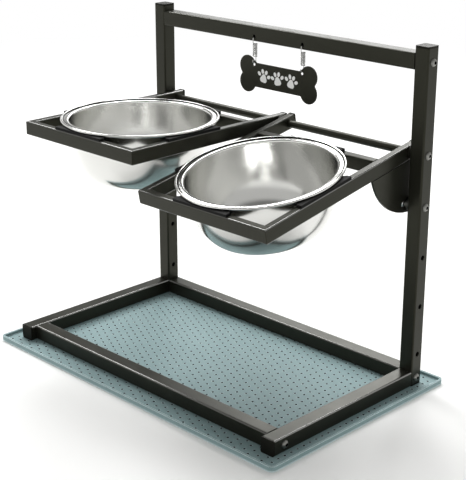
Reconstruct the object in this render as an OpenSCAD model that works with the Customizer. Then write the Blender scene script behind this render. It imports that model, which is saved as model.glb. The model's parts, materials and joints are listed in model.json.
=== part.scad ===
// Raised feeder stand for a dog. Two frames, each with a steel bowl, turn on a rod between two
// drilled uprights, so the pair can be set at several heights and each frame at its own tilt.
// Sizes are in millimetres and angles in degrees. X runs across the stand, the front faces -Y,
// and the origin is the middle of the mat's underside.

/* [Tube stand] */
// Side of the square tube
tube = 20; // [18:0.5:25]
// Wall of the square tube
tube_wall = 1.5; // [1:0.1:2]
// Outer corner radius of the square tube
tube_r = 2.2; // [2.1:0.1:3.5]
// Depth from the back of the uprights to the front ends of the side rails
stand_d = 274; // [250:1:340]
// Height of the uprights above the mat, caps included
stand_h = 431; // [415:1:520]
// Drop from the top of the uprights to the top bar
top_bar_drop = 9; // [6:0.5:24]
// Step from the side rails' front ends back to the front rail
front_rail_inset = 9; // [8:0.5:30]
// Thickness of the flange on a tube cap
cap_t = 2.5; // [2:0.25:4]
// Length of the plug on a tube cap
cap_plug = 8; // [5:0.5:9]
// Length of the plug under an upright
foot_plug = 3.5; // [2:0.5:4]
// Play of a plug or insert in its tube, each side
plug_play = 0.1; // [0.05:0.05:0.2]
// Length of the threaded inserts in the cross tubes
insert_len = 16; // [14:1:24]

/* [Height holes] */
// Number of height holes in each upright
hole_count = 5; // [4:1:5]
// Height of the lowest hole above the mat
hole_low = 42; // [36:1:52]
// Distance between two height holes
hole_pitch = 64.5; // [56:0.5:68]
// Height holes left free above the pivot rod
holes_above = 0; // [0:1:3]

/* [Bowl frames] */
// Width of the frame tube
arm_w = 10; // [9:0.5:14]
// Height of the frame tube
arm_h = 18; // [17:0.5:22]
// Wall of the frame tube
arm_wall = 1.2; // [1:0.1:1.4]
// Outer corner radius of the frame tube
arm_r = 1.6; // [1.5:0.1:2.5]
// From the rod to the back of the bowl ring
ring_setback = 49; // [40:1:70]
// From the rod to the back ends of the arms, caps included
arm_tail = 13; // [12:0.5:20]
// Length of the plug on an arm cap
arm_plug = 4; // [3:0.5:4.5]
// Rim of an arm cap that stands proud of the tube
arm_cap_proud = 0.3; // [0:0.1:0.5]
// Gap between an upright and the frame beside it
side_gap = 5.5; // [4:0.5:9]
// Gap between the two frames
centre_gap = 6; // [5:0.5:12]
// Tilt of the left frame, front down
left_tilt = 0; // [0:0.5:20]
// Tilt of the right frame, front down
right_tilt = 10.5; // [0:0.5:20]
// Most that a frame can tilt
tilt_max = 20; // [20:1:30]

/* [Tilt plates] */
// Thickness of a tilt plate
plate_t = 3; // [2:0.5:4]
// Step from the arm's outer face in to the plate
plate_inset = 0; // [0:0.5:3]
// Metal from the slot's centre line out to the plate's round edge
plate_edge = 10.5; // [9:0.5:14]
// Step from the arm's cap forward to the plate's back edge
plate_step = 0.5; // [0.5:0.25:2]
// Radius of the plate's lower back corner
plate_corner_r = 6; // [3:0.5:9]

/* [Pivot and lock] */
// Diameter of the pivot rod
rod_d = 10; // [9:0.5:11]
// Running play of a frame on the rod, each side
rod_fit = 0.08; // [0.05:0.01:0.1]
// Diameter of the collars on the rod
collar_d = 16; // [14:0.5:17]
// Diameter of the spacers behind the tilt plates
spacer_d = 17; // [14:0.5:20]
// Side play of the frames between their collars
slip = 0.15; // [0.1:0.05:0.3]
// Diameter of all bolts
bolt_d = 6; // [5:0.5:6]
// Play of a bolt in a plain hole or slot, each side
bolt_play = 0.3; // [0.3:0.05:0.5]
// Play of a bolt in its thread, each side
thread_fit = 0.05; // [0.03:0.01:0.08]
// Length of thread that a bolt reaches into
thread_len = 14; // [10:1:14]
// Diameter of the button heads
head_d = 10.5; // [9:0.5:12]
// Height of the button heads
head_h = 3.3; // [2.5:0.1:4]
// Width across the flats of the hex sockets
socket_w = 4; // [3:0.5:5]
// Width across the flats of the lock nuts
nut_w = 10; // [9:0.5:11]
// Thickness of the lock nuts
nut_t = 5; // [4:0.5:7]
// Diameter of the washers under the lock nuts
washer_d = 14; // [12:0.5:16]
// Thickness of the washers under the lock nuts
washer_t = 1.2; // [1:0.1:2]

/* [Bowls] */
// Outer diameter of a bowl just under its rim
bowl_d = 184; // [150:1:220]
// Diameter of a bowl's flat base
bowl_base_d = 110; // [80:1:130]
// Depth of a bowl over all
bowl_depth = 82; // [50:1:90]
// Width of the rim beyond the bowl's wall
rim_w = 10.25; // [9:0.25:12.5]
// Diameter of the rolled bead round the rim
bead_d = 3.6; // [3:0.1:4.5]
// Thickness of the bowl's sheet
bowl_sheet = 1; // [0.8:0.1:1.5]
// Outer radius of the bend from the wall to the rim
rim_bend_r = 3; // [2.2:0.1:4]

/* [Seat pads] */
// Length of a seat pad
pad_len = 87; // [60:1:110]
// Thickness of a pad on top of its bar
pad_t = 3.2; // [1:0.1:4]
// Thickness of a pad's lip inside its bar
pad_lip = 1.5; // [1.5:0.1:3]
// Height of a pad's lip
pad_drop = 11.5; // [6:0.5:14]
// Strip of bar left bare outside a pad
pad_set = 1; // [0.5:0.25:2]
// Corner cut at the inner ends of a pad
pad_corner = 4; // [2:0.5:6]
// Play between a bowl's wall and the lips round it
bowl_play = 0.5; // [0.5:0.1:2]
// Clearance under a bowl's bead
seat_gap = 0.2; // [0.1:0.05:0.4]

/* [Sign] */
// Width of the bone sign
sign_w = 135; // [115:1:170]
// Height of the bone's shank
sign_shank_h = 32; // [26:1:40]
// Radius of the bone's four knuckles
knuckle_r = 14; // [13:0.5:17]
// Height of a knuckle's centre above the bone's middle
knuckle_rise = 10.5; // [9:0.5:12]
// Radius that softens the bone's inner corners
bone_fillet = 2; // [1:0.5:4]
// Thickness of the sign
sign_t = 1.5; // [1:0.1:1.6]
// Diameter of the sign's hanging holes
sign_hole_d = 4.6; // [4.4:0.1:6]
// Distance between the two hanging holes
sign_hole_pitch = 84; // [60:1:100]
// Height of the hanging holes above the bone's middle
sign_hole_rise = 13.7; // [13:0.1:18]
// Metal round a hanging hole
sign_ear = 2.3; // [2:0.1:3]

/* [Hangers] */
// Diameter of the hanger wire
wire_d = 1.2; // [1:0.1:1.4]
// Radius of a hanger's coil and lower hook at the wire's centre
coil_r = 2.8; // [2.8:0.1:3.4]
// Full turns of a coil, before its last half turn
coil_turns = 10; // [6:1:12]
// Gap between two turns of a coil
coil_gap = 0.45; // [0.42:0.01:0.6]
// Drop from the wire in the top bar to the start of the coil
coil_drop = 7.5; // [7:0.1:9]
// From the end of the coil down to the centre of the lower hook
hook_reach = 6.2; // [5.5:0.1:8]
// Free end of the lower hook above its centre
hook_tip = 2; // [1:0.1:3]
// Radius of the bends where the wire leaves the coil
lead_r = 1.2; // [1:0.1:1.5]
// Radius of the two small bends at the top bar
hook_bend_r = 2; // [1.8:0.1:2.2]
// Diameter of the hook holes in the top bar
hook_hole_d = 5; // [4:0.1:6]
// Height of the hook holes above the top bar's underside
hook_hole_rise = 6.5; // [6:0.1:9]
// Clearance between a hanger and the edge that it hangs on
hook_gap = 0.4; // [0.3:0.05:0.6]
// Clearance between the sign's hole and the hook that it hangs in
sign_gap = 0.5; // [0.5:0.05:0.7]

/* [Mat] */
// Mat beyond the stand at each side
mat_side = 19.5; // [10:0.5:40]
// Mat beyond the stand at the front and the back
mat_end = 23; // [10:0.5:40]
// Thickness of the mat's floor
mat_t = 3; // [2:0.5:5]
// Height of the mat's lip above its floor
mat_lip_h = 3.8; // [1:0.1:6]
// Width of the mat's lip
mat_lip_w = 3; // [2:0.5:6]
// Corner radius of the mat
mat_r = 7; // [7:0.5:20]

/* [Hidden] */
$fn = 48;
// Overlap of a cutting tool past the face that it cuts
over = 1;
SIDES = [-1, 1];

// Finishes, as seen
coat_black = "#2b2c29";
cap_black = "#1f201f";
bolt_grey = "#4d4e4c";
rod_black = "#333431";
zinc = "#b4b7b9";
steel_bright = "#d3d6d8";
pad_black = "#191a1a";
sign_black = "#262724";
mat_blue = "#8fa9b0";

// Bowl ring and stand, built out from the bowl
bowl_r = bowl_d / 2;
base_r = bowl_base_d / 2;
rim_r = bowl_r + rim_w;
ring_in = bowl_r + bowl_play + pad_lip;
ring_out = ring_in + arm_w;
frame_w = 2 * ring_out;
stand_w = 2 * (tube + side_gap + frame_w) + centre_gap;
upright_x = stand_w / 2;
inner_x = upright_x - tube;
back_y = stand_d / 2;
rail_front_y = -stand_d / 2;
upright_front_y = back_y - tube;
upright_mid_y = back_y - tube / 2;
stand_top_z = mat_t + stand_h;
bar_top_z = stand_top_z - top_bar_drop;
bar_mid_z = bar_top_z - tube / 2;
rail_mid_z = mat_t + tube / 2;
front_rail_mid_y = rail_front_y + front_rail_inset + tube / 2;
tube_bore = tube - 2 * tube_wall;
tube_bore_r = tube_r - tube_wall;
plug_size = tube_bore - 2 * plug_play;

// Height holes: the rod takes one, and the lock bolt takes the next one down
height_holes = [for (i = [0 : hole_count - 1]) mat_t + hole_low + i * hole_pitch];
pivot_hole = hole_count - 1 - holes_above;
pivot_y = upright_mid_y;
pivot_z = height_holes[pivot_hole];
lock_z = height_holes[pivot_hole - 1];

// The right frame about the rod's axis, before it is tilted
arm_out_x = inner_x - side_gap;
arm_in_x = arm_out_x - frame_w;
ring_x = arm_out_x - ring_out;
ring_y = -ring_setback - ring_out;
frame_front_y = ring_y - ring_out;
arm_half = arm_h / 2;
arm_bore_w = arm_w - 2 * arm_wall;
arm_bore_h = arm_h - 2 * arm_wall;
arm_bore_r = arm_r - arm_wall;
plate_out_x = arm_out_x - plate_inset;
plate_in_x = plate_out_x - plate_t;
plate_r = hole_pitch + plate_edge;
plate_back = arm_tail - cap_t - plate_step;
slot_r = bolt_d / 2 + bolt_play;

// A bowl on its pads, about the ring's centre and the rod's level
pad_top = arm_half + pad_t;
bead_r = bead_d / 2;
bead_mid_r = rim_r - bead_r;
bead_mid_z = pad_top + seat_gap + bead_r;
rim_under_z = bead_mid_z - bowl_sheet / 2;
rim_top_z = bead_mid_z + bowl_sheet / 2;
bend_z = rim_top_z - rim_bend_r;
bend_in = rim_bend_r - bowl_sheet;
bowl_under_z = bead_mid_z + bead_r - bowl_depth;
// Short straight steps along the bowl's curved wall and along the bend at its rim
wall_steps = 20;
bend_steps = 6;

// Bolts, nuts and threads
plain_hole_d = bolt_d + 2 * bolt_play;
thread_d = bolt_d + 2 * thread_fit;
socket_depth = 0.6 * head_h;
frame_bolt_len = tube + thread_len;
lock_grip = tube + side_gap + plate_inset + plate_t + slip + washer_t + nut_t;
// Bare thread that a lock bolt shows past its nut
lock_end = 2;
// The rod's tapped holes go a little deeper than its bolts
rod_tap_depth = thread_len + 4;

// Hangers: the wire runs through the bar's front wall and hangs on the lower edge of its hole
hook_hole_z = bar_top_z - tube + hook_hole_rise;
hook_y = upright_front_y + tube_wall / 2;
hook_z = hook_hole_z - hook_hole_d / 2 + hook_gap + wire_d / 2;
hook_in_run = tube_wall / 2 + over;
coil_pitch = wire_d + coil_gap;
coil_angle = 360 * coil_turns + 180;
coil_end_z = -coil_drop - coil_pitch * coil_angle / 360;
hook_low_z = coil_end_z - hook_reach;
sign_hole_z = hook_z + hook_low_z - coil_r + wire_d / 2 + sign_gap - sign_hole_d / 2;
sign_mid_z = sign_hole_z - sign_hole_rise;
ear_r = sign_hole_d / 2 + sign_ear;
knuckle_x = sign_w / 2 - knuckle_r;

// Mat
mat_w = stand_w + 2 * mat_side;
mat_d = stand_d + 2 * mat_end;

// Shared shapes

// Rectangle with round corners, centred on the origin
module round_rect(w, d, r) {
    square([w - 2 * r, d], center = true);
    square([w, d - 2 * r], center = true);
    for (x = SIDES, y = SIDES)
        translate([x * (w / 2 - r), y * (d / 2 - r)]) circle(r);
}

// Lays a shape that was drawn along Z along X, with its width along Y and its height along Z
module along_x() {
    rotate([90, 0, 90]) children();
}

// Lays a shape that was drawn along Z along Y, with its width along X and its height along Z
module along_y() {
    rotate([-90, 0, 0]) children();
}

// Puts a drawing of the right side on either side, the left one as a mirror image
module to_side(side) {
    mirror([side < 0 ? 1 : 0, 0, 0]) children();
}

// Length of the stand's square tube along Z
module stand_tube(len) {
    linear_extrude(len) difference() {
        round_rect(tube, tube, tube_r);
        round_rect(tube_bore, tube_bore, tube_bore_r);
    }
}

// Length of the frames' flat tube along Z, its width along X and its height along Y
module frame_tube(len) {
    linear_extrude(len) difference() {
        round_rect(arm_w, arm_h, arm_r);
        round_rect(arm_bore_w, arm_bore_h, arm_bore_r);
    }
}

// Cutter for a round hole along X that goes right through a tube at the right side
module bolt_hole(y, z) {
    translate([inner_x - over, y, z]) along_x() cylinder(d = plain_hole_d, h = tube + 2 * over);
}

// Button-head bolt along Z: the head's underside is at Z = 0 and the shank points up
module button_bolt(len) {
    dome_r = (head_h * head_h + head_d * head_d / 4) / (2 * head_h);
    translate([0, 0, -over / 10]) cylinder(d = bolt_d, h = len + over / 10);
    difference() {
        mirror([0, 0, 1]) rotate_extrude() intersection() {
            translate([0, head_h - dome_r]) circle(dome_r);
            square([head_d / 2, head_h]);
        }
        translate([0, 0, -head_h - over])
            cylinder(d = socket_w / cos(30), h = socket_depth + over, $fn = 6);
    }
}

// Bolt that enters the right side of the stand from outside
module side_bolt(len, y, z) {
    translate([upright_x, y, z]) rotate([0, -90, 0]) button_bolt(len);
}

// Plain ring along X from the plane X = x
module ring_along_x(x, len, outer_d, inner_d) {
    translate([x, 0, 0]) along_x() linear_extrude(len) difference() {
        circle(d = outer_d);
        circle(d = inner_d);
    }
}

// Cap along Z: a flange from Z = 0 down and a plug up into the tube
module tube_cap(plug) {
    mirror([0, 0, 1]) linear_extrude(cap_t) round_rect(tube, tube, tube_r);
    linear_extrude(plug) round_rect(plug_size, plug_size, tube_bore_r);
}

// Tube stand

module upright(side) {
    low = mat_t + cap_t;
    color(coat_black) to_side(side) difference() {
        translate([upright_x - tube / 2, upright_mid_y, low]) stand_tube(stand_h - 2 * cap_t);
        for (z = height_holes) bolt_hole(upright_mid_y, z);
        for (z = [rail_mid_z, bar_mid_z]) bolt_hole(upright_mid_y, z);
    }
}

module left_upright() { upright(-1); }
module right_upright() { upright(1); }

// The side rail is welded to the front of its upright
module side_rail(side) {
    tube_front_y = rail_front_y + cap_t;
    color(coat_black) to_side(side) difference() {
        translate([upright_x - tube / 2, tube_front_y, rail_mid_z])
            along_y() stand_tube(upright_front_y - tube_front_y);
        bolt_hole(front_rail_mid_y, rail_mid_z);
    }
}

module left_side_rail() { side_rail(-1); }
module right_side_rail() { side_rail(1); }

// Tube that spans the stand between its two sides
module cross_tube(y, z) {
    translate([-inner_x, y, z]) along_x() stand_tube(2 * inner_x);
}

module front_rail() { color(coat_black) cross_tube(front_rail_mid_y, rail_mid_z); }
module rear_rail() { color(coat_black) cross_tube(upright_mid_y, rail_mid_z); }

module top_bar() {
    color(coat_black) difference() {
        cross_tube(upright_mid_y, bar_mid_z);
        for (side = SIDES)
            translate([side * sign_hole_pitch / 2, upright_front_y - over, hook_hole_z])
                along_y() cylinder(d = hook_hole_d, h = tube_wall + 2 * over);
    }
}

module upright_caps() {
    color(cap_black) for (side = SIDES)
        translate([side * (upright_x - tube / 2), upright_mid_y, stand_top_z - cap_t])
            mirror([0, 0, 1]) tube_cap(cap_plug);
}

module upright_feet() {
    color(cap_black) for (side = SIDES)
        translate([side * (upright_x - tube / 2), upright_mid_y, mat_t + cap_t]) tube_cap(foot_plug);
}

module rail_caps() {
    color(cap_black) for (side = SIDES)
        translate([side * (upright_x - tube / 2), rail_front_y + cap_t, rail_mid_z])
            along_y() tube_cap(cap_plug);
}

// Places of the three cross tubes, as [y, z]
cross_places = [
    [upright_mid_y, bar_mid_z],
    [upright_mid_y, rail_mid_z],
    [front_rail_mid_y, rail_mid_z]
];

module tube_inserts() {
    color(zinc) for (side = SIDES, place = cross_places) to_side(side)
        translate([inner_x - insert_len, place[0], place[1]]) along_x() difference() {
            linear_extrude(insert_len) round_rect(plug_size, plug_size, tube_bore_r);
            translate([0, 0, -over]) cylinder(d = thread_d, h = insert_len + 2 * over);
        }
}

module frame_bolts() {
    color(bolt_grey) for (side = SIDES, place = cross_places)
        to_side(side) side_bolt(frame_bolt_len, place[0], place[1]);
}

// Pivot rod and tilt locks

module pivot_rod() {
    color(rod_black) translate([0, pivot_y, pivot_z]) difference() {
        translate([-inner_x, 0, 0]) along_x() cylinder(d = rod_d, h = 2 * inner_x);
        for (side = SIDES) to_side(side) translate([inner_x - rod_tap_depth, 0, 0])
            along_x() cylinder(d = thread_d, h = rod_tap_depth + over);
    }
}

module pivot_bolts() {
    color(bolt_grey) for (side = SIDES) to_side(side) side_bolt(frame_bolt_len, pivot_y, pivot_z);
}

// One collar between each upright and its frame, and one between the two frames
module pivot_collars() {
    hole_d = rod_d + 2 * thread_fit;
    side_len = side_gap - slip;
    middle_len = centre_gap - 2 * slip;
    color(cap_black) translate([0, pivot_y, pivot_z]) {
        for (side = SIDES) to_side(side) ring_along_x(inner_x - side_len, side_len, collar_d, hole_d);
        ring_along_x(-middle_len / 2, middle_len, collar_d, hole_d);
    }
}

module lock_bolts() {
    color(bolt_grey) for (side = SIDES) to_side(side) side_bolt(lock_grip + lock_end, pivot_y, lock_z);
}

module lock_spacers() {
    len = side_gap + plate_inset - slip;
    color(bolt_grey) translate([0, pivot_y, lock_z]) for (side = SIDES)
        to_side(side) ring_along_x(inner_x - len, len, spacer_d, plain_hole_d);
}

module lock_washers() {
    color(zinc) translate([0, pivot_y, lock_z]) for (side = SIDES)
        to_side(side) ring_along_x(plate_in_x - slip - washer_t, washer_t, washer_d, plain_hole_d);
}

module lock_nuts() {
    nut_x = plate_in_x - slip - washer_t - nut_t;
    color(zinc) translate([0, pivot_y, lock_z]) for (side = SIDES) to_side(side)
        translate([nut_x, 0, 0]) along_x() difference() {
            cylinder(d = nut_w / cos(30), h = nut_t, $fn = 6);
            translate([0, 0, -over]) cylinder(d = thread_d, h = nut_t + 2 * over);
        }
}

module mat() {
    color(mat_blue) difference() {
        linear_extrude(mat_t + mat_lip_h) round_rect(mat_w, mat_d, mat_r);
        translate([0, 0, mat_t]) linear_extrude(mat_lip_h + over)
            round_rect(mat_w - 2 * mat_lip_w, mat_d - 2 * mat_lip_w, mat_r - mat_lip_w);
    }
}

// Bowl frames

// Puts a piece of the right frame, drawn level about the rod's axis, on either side at its tilt
module on_frame(side) {
    tilt = side < 0 ? left_tilt : right_tilt;
    translate([0, pivot_y, pivot_z]) rotate([tilt, 0, 0]) to_side(side) children();
}

// Cutter for a mitre: half of a corner square, on one side of its diagonal
module mitre_wedge(take_front) {
    far = arm_w + over;
    translate([0, 0, -arm_h]) linear_extrude(2 * arm_h)
        polygon([[-over, -over], [far, far], take_front ? [far, -over] : [-over, far]]);
}

// The ring's two front corners: the inner one as it is and the outer one as a mirror image
module at_front_corners() {
    translate([arm_in_x, frame_front_y, 0]) children();
    translate([arm_out_x, frame_front_y, 0]) mirror([1, 0, 0]) children();
}

module front_bar(side) {
    color(coat_black) on_frame(side) difference() {
        translate([arm_in_x, frame_front_y + arm_w / 2, 0]) along_x() frame_tube(frame_w);
        at_front_corners() mitre_wedge(take_front = false);
    }
}

module rear_bar(side) {
    color(coat_black) on_frame(side)
        translate([ring_x - ring_in, -ring_setback - arm_w / 2, 0]) along_x() frame_tube(2 * ring_in);
}

// An arm runs from its mitre at the front, past the rod, to its cap
module arm(side, mid_x) {
    tube_back_y = arm_tail - cap_t;
    color(coat_black) on_frame(side) difference() {
        translate([mid_x, frame_front_y, 0]) along_y() frame_tube(tube_back_y - frame_front_y);
        at_front_corners() mitre_wedge(take_front = true);
        translate([mid_x - arm_w, 0, 0]) along_x() cylinder(d = rod_d + 2 * rod_fit, h = 2 * arm_w);
    }
}

module outer_arm(side) { arm(side, arm_out_x - arm_w / 2); }
module inner_arm(side) { arm(side, arm_in_x + arm_w / 2); }

module arm_caps(side) {
    proud = 2 * arm_cap_proud;
    color(cap_black) on_frame(side) for (mid_x = [arm_in_x + arm_w / 2, arm_out_x - arm_w / 2])
        translate([mid_x, arm_tail - cap_t, 0]) along_y() {
            linear_extrude(cap_t) round_rect(arm_w + proud, arm_h + proud, arm_r);
            mirror([0, 0, 1]) linear_extrude(arm_plug)
                round_rect(arm_bore_w - 2 * plug_play, arm_bore_h - 2 * plug_play, arm_bore_r);
        }
}

// Slot for the lock bolt: an arc about the rod that reaches from level to the steepest tilt
module lock_slot() {
    reach = 2 * plate_r;
    intersection() {
        difference() {
            circle(hole_pitch + slot_r);
            circle(hole_pitch - slot_r);
        }
        polygon([[0, 0], [0, -reach], [-reach * sin(tilt_max), -reach * cos(tilt_max)]]);
    }
    for (tilt = [0, tilt_max]) rotate(-tilt) translate([0, -hole_pitch]) circle(slot_r);
}

// Outline of a tilt plate seen along X: a sector round the rod, below its arm
module plate_outline() {
    corner_y = plate_back - plate_corner_r;
    corner_z = -sqrt(pow(plate_r - plate_corner_r, 2) - pow(corner_y, 2));
    intersection() {
        circle(plate_r);
        union() {
            translate([-plate_r, -plate_r]) square([plate_r + corner_y, plate_r - arm_half]);
            translate([-plate_r, corner_z]) square([plate_r + plate_back, -arm_half - corner_z]);
            translate([corner_y, corner_z]) circle(plate_corner_r);
        }
    }
}

module tilt_plate(side) {
    color(coat_black) on_frame(side) translate([plate_in_x, 0, 0]) along_x()
        linear_extrude(plate_t) difference() {
            plate_outline();
            lock_slot();
        }
}

// One pad on the ring's front bar, drawn about the ring's centre
module seat_pad() {
    pad_out = ring_out - pad_set;
    lip_in = ring_in - pad_lip;
    cut = pad_len / 2 - pad_corner;
    intersection() {
        translate([-pad_len / 2, 0, 0]) along_x() linear_extrude(pad_len) polygon([
            [-pad_out, arm_half], [-ring_in, arm_half], [-ring_in, pad_top - pad_drop],
            [-lip_in, pad_top - pad_drop], [-lip_in, pad_top], [-pad_out, pad_top]
        ]);
        translate([0, 0, -arm_h]) linear_extrude(2 * arm_h) polygon([
            [-pad_len / 2, -pad_out], [pad_len / 2, -pad_out], [pad_len / 2, -lip_in - pad_corner],
            [cut, -lip_in], [-cut, -lip_in], [-pad_len / 2, -lip_in - pad_corner]
        ]);
    }
}

module seat_pads(side) {
    color(pad_black) on_frame(side) translate([ring_x, ring_y, 0])
        for (turn = [0 : 90 : 270]) rotate(turn) seat_pad();
}

// Half section of a bowl, without its bead: elliptical wall, flat base and flat rim
module bowl_section() {
    wall_w = bowl_r - base_r;
    wall_h = bend_z - bowl_under_z;
    bend_mid = bowl_r + bend_in;
    polygon(concat(
        [[0, bowl_under_z]],
        [for (i = [0 : wall_steps]) let (t = 90 - 90 * i / wall_steps)
            [base_r + wall_w * cos(t), bend_z - wall_h * sin(t)]],
        [for (i = [1 : bend_steps]) let (t = 180 - 90 * i / bend_steps)
            [bend_mid + bend_in * cos(t), bend_z + bend_in * sin(t)]],
        [[bead_mid_r, rim_under_z], [bead_mid_r, rim_top_z]],
        [for (i = [0 : bend_steps]) let (t = 90 + 90 * i / bend_steps)
            [bend_mid + rim_bend_r * cos(t), bend_z + rim_bend_r * sin(t)]],
        [for (i = [1 : wall_steps]) let (t = 90 * i / wall_steps)
            [base_r + (wall_w - bowl_sheet) * cos(t), bend_z - (wall_h - bowl_sheet) * sin(t)]],
        [[0, bowl_under_z + bowl_sheet]]
    ));
}

module bowl(side) {
    color(steel_bright) on_frame(side) translate([ring_x, ring_y, 0]) rotate_extrude() {
        bowl_section();
        translate([bead_mid_r, bead_mid_z]) circle(bead_r);
    }
}

module left_front_bar() { front_bar(-1); }
module left_rear_bar() { rear_bar(-1); }
module left_outer_arm() { outer_arm(-1); }
module left_inner_arm() { inner_arm(-1); }
module left_arm_caps() { arm_caps(-1); }
module left_tilt_plate() { tilt_plate(-1); }
module left_seat_pads() { seat_pads(-1); }
module left_bowl() { bowl(-1); }
module right_front_bar() { front_bar(1); }
module right_rear_bar() { rear_bar(1); }
module right_outer_arm() { outer_arm(1); }
module right_inner_arm() { inner_arm(1); }
module right_arm_caps() { arm_caps(1); }
module right_tilt_plate() { tilt_plate(1); }
module right_seat_pads() { seat_pads(1); }
module right_bowl() { bowl(1); }

// Hanging sign

// Points on an arc in the plane of two unit vectors
function arc_points(centre, u, v, r, from, to, steps) = [
    for (i = [0 : steps]) let (a = from + (to - from) * i / steps) centre + r * (cos(a) * u + sin(a) * v)
];

// Points along a hanger's wire, about the place where it runs through the bar's front wall: its inner
// end, the run through the wall, the coil, and the lower hook that the sign hangs in
X = [1, 0, 0];
Y = [0, 1, 0];
Z = [0, 0, 1];
coil_rings = 8;
hanger_path = concat(
    arc_points([0, hook_in_run, -hook_bend_r], Y, Z, hook_bend_r, 0, 90, 3),
    arc_points([0, hook_bend_r - coil_r, -hook_bend_r], Y, Z, hook_bend_r, 90, 180, 3),
    arc_points([lead_r, -coil_r, lead_r - coil_drop], X, Z, lead_r, 180, 240, 2),
    [for (i = [0 : coil_angle * coil_rings / 360]) let (a = 360 * i / coil_rings)
        [lead_r + coil_r * sin(a), -coil_r * cos(a), -coil_drop - coil_pitch * i / coil_rings]],
    arc_points([lead_r, coil_r, coil_end_z - lead_r], X, Z, lead_r, 120, 180, 2),
    arc_points([0, 0, hook_low_z], Y, Z, coil_r, 0, -180, 8),
    [[0, -coil_r, hook_low_z + hook_tip]]
);

function unit(v) = v / norm(v);

// Direction of the wire at each point of its path
last_point = len(hanger_path) - 1;
hanger_dirs = [
    for (i = [0 : last_point])
        unit(hanger_path[min(i + 1, last_point)] - hanger_path[max(i - 1, 0)])
];

// Sideways direction at each point, carried along the path so that the wire isn't twisted
function square_to(v, dir) = unit(v - (v * dir) * dir);
hanger_sides = [
    for (i = 0, v = X; i <= last_point; i = i + 1, v = square_to(v, hanger_dirs[min(i, last_point)])) v
];

// Least gap between two parts of the wire that lie apart along it
hanger_run = [
    for (i = 0, run = 0; i <= last_point; i = i + 1,
        run = run + norm(hanger_path[min(i, last_point)] - hanger_path[i - 1])) run
];
wire_gap = min([
    for (i = [0 : last_point], j = [i + 1 : 1 : last_point])
        if (hanger_run[j] - hanger_run[i] > 3 * wire_d) norm(hanger_path[i] - hanger_path[j]) - wire_d
]);
echo(str("Least gap in a hanger's wire: ", wire_gap, " mm"));

// Wire of a hanger: a ring of points round each point of its path, with flat ends
module hanger() {
    n = 6;
    rings = [
        for (i = [0 : last_point], k = [0 : n - 1]) let (a = 360 * k / n)
            hanger_path[i] + wire_d / 2
                * (cos(a) * hanger_sides[i] + sin(a) * cross(hanger_dirs[i], hanger_sides[i]))
    ];
    walls = [
        for (i = [0 : last_point - 1], k = [0 : n - 1], half = [0, 1])
            let (a = i * n + k, b = i * n + (k + 1) % n)
                half == 0 ? [a, a + n, b] : [b, a + n, b + n]
    ];
    ends = [
        for (k = [1 : n - 2], far = [0, 1]) let (a = last_point * n)
            far == 0 ? [0, k, k + 1] : [a, a + k + 1, a + k]
    ];
    polyhedron(rings, concat(walls, ends));
}

module sign_hooks() {
    color(zinc) for (side = SIDES) translate([side * sign_hole_pitch / 2, hook_y, hook_z]) hanger();
}

// Outline of the bone, with an ear round each hanging hole
module bone_outline() {
    offset(-bone_fillet) offset(bone_fillet) {
        square([2 * knuckle_x, sign_shank_h], center = true);
        for (x = SIDES, y = SIDES) translate([x * knuckle_x, y * knuckle_rise]) circle(knuckle_r);
        for (x = SIDES) translate([x * sign_hole_pitch / 2, sign_hole_rise]) circle(ear_r);
    }
}

module sign_plate() {
    color(sign_black) translate([0, hook_y + sign_t / 2, sign_mid_z]) rotate([90, 0, 0]) difference() {
        linear_extrude(sign_t) bone_outline();
        for (x = SIDES) translate([x * sign_hole_pitch / 2, sign_hole_rise, -over])
            cylinder(d = sign_hole_d, h = sign_t + 2 * over);
    }
}

left_upright();
right_upright();
left_side_rail();
right_side_rail();
front_rail();
rear_rail();
top_bar();
upright_caps();
upright_feet();
rail_caps();
tube_inserts();
frame_bolts();
pivot_rod();
pivot_bolts();
pivot_collars();
lock_bolts();
lock_spacers();
lock_washers();
lock_nuts();
mat();
left_front_bar();
left_rear_bar();
left_outer_arm();
left_inner_arm();
left_arm_caps();
left_tilt_plate();
left_seat_pads();
left_bowl();
right_front_bar();
right_rear_bar();
right_outer_arm();
right_inner_arm();
right_arm_caps();
right_tilt_plate();
right_seat_pads();
right_bowl();
sign_hooks();
sign_plate();
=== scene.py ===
"""Looks of a raised dog feeder stand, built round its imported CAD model.

The tubes, bolts and wires keep their CAD solids and get finishes here. The bowls, the mat and the
sign's motif are modelled with Blender's own operators, because their detail goes past the solids.
Lengths are in metres, in the frame of the CAD model: X across, -Y to the front, Z up.
"""

import json
import logging
import math
from dataclasses import dataclass, field, replace
from enum import Enum

import bpy
from bpy.types import Material, Node, NodeSocket, NodeTree, Object
from mathutils import Matrix, Vector


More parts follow.
